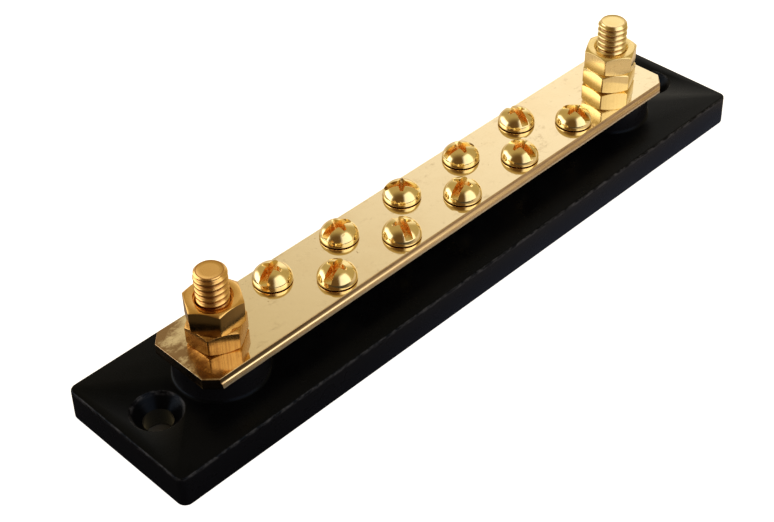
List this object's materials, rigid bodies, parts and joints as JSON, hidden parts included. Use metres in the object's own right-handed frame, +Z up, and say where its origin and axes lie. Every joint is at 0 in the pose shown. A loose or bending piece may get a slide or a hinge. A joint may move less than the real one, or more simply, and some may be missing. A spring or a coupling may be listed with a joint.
{
  "type": "power distribution bus bar",
  "caption": "Gold-plated brass bus bar on an insulating base, with a threaded stud and hex nuts at each end and staggered terminal screws between.",
  "frame": {"origin": "centre of the base's underside, on the surface it is mounted to", "axes": "+X along the bar, +Z up out of the mounting surface, +Y across the bar"},
  "size_m": [0.1592, 0.033, 0.0305],
  "materials": {
    "black_base": "fine matte moulded black plastic",
    "gold_bar": "mirror-polished pale gold plating, faint scratches and stains",
    "gold_stud": "gold plating on a cut thread",
    "gold_nut": "polished gold plating",
    "gold_screw": "polished gold plating"
  },
  "bodies": {
    "block": {"base": "black_base", "bus_bar": "gold_bar", "stud_left": "gold_stud", "stud_right": "gold_stud"},
    "lower_nut_left": {"lower_nut_left": "gold_nut"},
    "upper_nut_left": {"upper_nut_left": "gold_nut"},
    "lower_nut_right": {"lower_nut_right": "gold_nut"},
    "upper_nut_right": {"upper_nut_right": "gold_nut"},
    "terminal_screw_1": {"terminal_screw_1": "gold_screw"},
    "terminal_screw_2": {"terminal_screw_2": "gold_screw"},
    "terminal_screw_3": {"terminal_screw_3": "gold_screw"},
    "terminal_screw_4": {"terminal_screw_4": "gold_screw"},
    "terminal_screw_5": {"terminal_screw_5": "gold_screw"},
    "terminal_screw_6": {"terminal_screw_6": "gold_screw"},
    "terminal_screw_7": {"terminal_screw_7": "gold_screw"},
    "terminal_screw_8": {"terminal_screw_8": "gold_screw"},
    "terminal_screw_9": {"terminal_screw_9": "gold_screw"},
    "terminal_screw_10": {"terminal_screw_10": "gold_screw"}
  },
  "joints": [
    {"name": "lower_nut_left_travel", "type": "slide", "parent": "block", "child": "lower_nut_left", "axis": [0, 0, 1], "range_m": [0, 0.0115]},
    {"name": "upper_nut_left_travel", "type": "slide", "parent": "lower_nut_left", "child": "upper_nut_left", "axis": [0, 0, 1], "range_m": [0, 0.0115]},
    {"name": "lower_nut_right_travel", "type": "slide", "parent": "block", "child": "lower_nut_right", "axis": [0, 0, 1], "range_m": [0, 0.0109]},
    {"name": "upper_nut_right_travel", "type": "slide", "parent": "lower_nut_right", "child": "upper_nut_right", "axis": [0, 0, 1], "range_m": [0, 0.0109]},
    {"name": "terminal_screw_1_travel", "type": "slide", "parent": "block", "child": "terminal_screw_1", "axis": [0, 0, 1], "range_m": [0, 0.0055]},
    {"name": "terminal_screw_2_travel", "type": "slide", "parent": "block", "child": "terminal_screw_2", "axis": [0, 0, 1], "range_m": [0, 0.0055]},
    {"name": "terminal_screw_3_travel", "type": "slide", "parent": "block", "child": "terminal_screw_3", "axis": [0, 0, 1], "range_m": [0, 0.0055]},
    {"name": "terminal_screw_4_travel", "type": "slide", "parent": "block", "child": "terminal_screw_4", "axis": [0, 0, 1], "range_m": [0, 0.0055]},
    {"name": "terminal_screw_5_travel", "type": "slide", "parent": "block", "child": "terminal_screw_5", "axis": [0, 0, 1], "range_m": [0, 0.0055]},
    {"name": "terminal_screw_6_travel", "type": "slide", "parent": "block", "child": "terminal_screw_6", "axis": [0, 0, 1], "range_m": [0, 0.0055]},
    {"name": "terminal_screw_7_travel", "type": "slide", "parent": "block", "child": "terminal_screw_7", "axis": [0, 0, 1], "range_m": [0, 0.0055]},
    {"name": "terminal_screw_8_travel", "type": "slide", "parent": "block", "child": "terminal_screw_8", "axis": [0, 0, 1], "range_m": [0, 0.0055]},
    {"name": "terminal_screw_9_travel", "type": "slide", "parent": "block", "child": "terminal_screw_9", "axis": [0, 0, 1], "range_m": [0, 0.0055]},
    {"name": "terminal_screw_10_travel", "type": "slide", "parent": "block", "child": "terminal_screw_10", "axis": [0, 0, 1], "range_m": [0, 0.0055]}
  ]
}
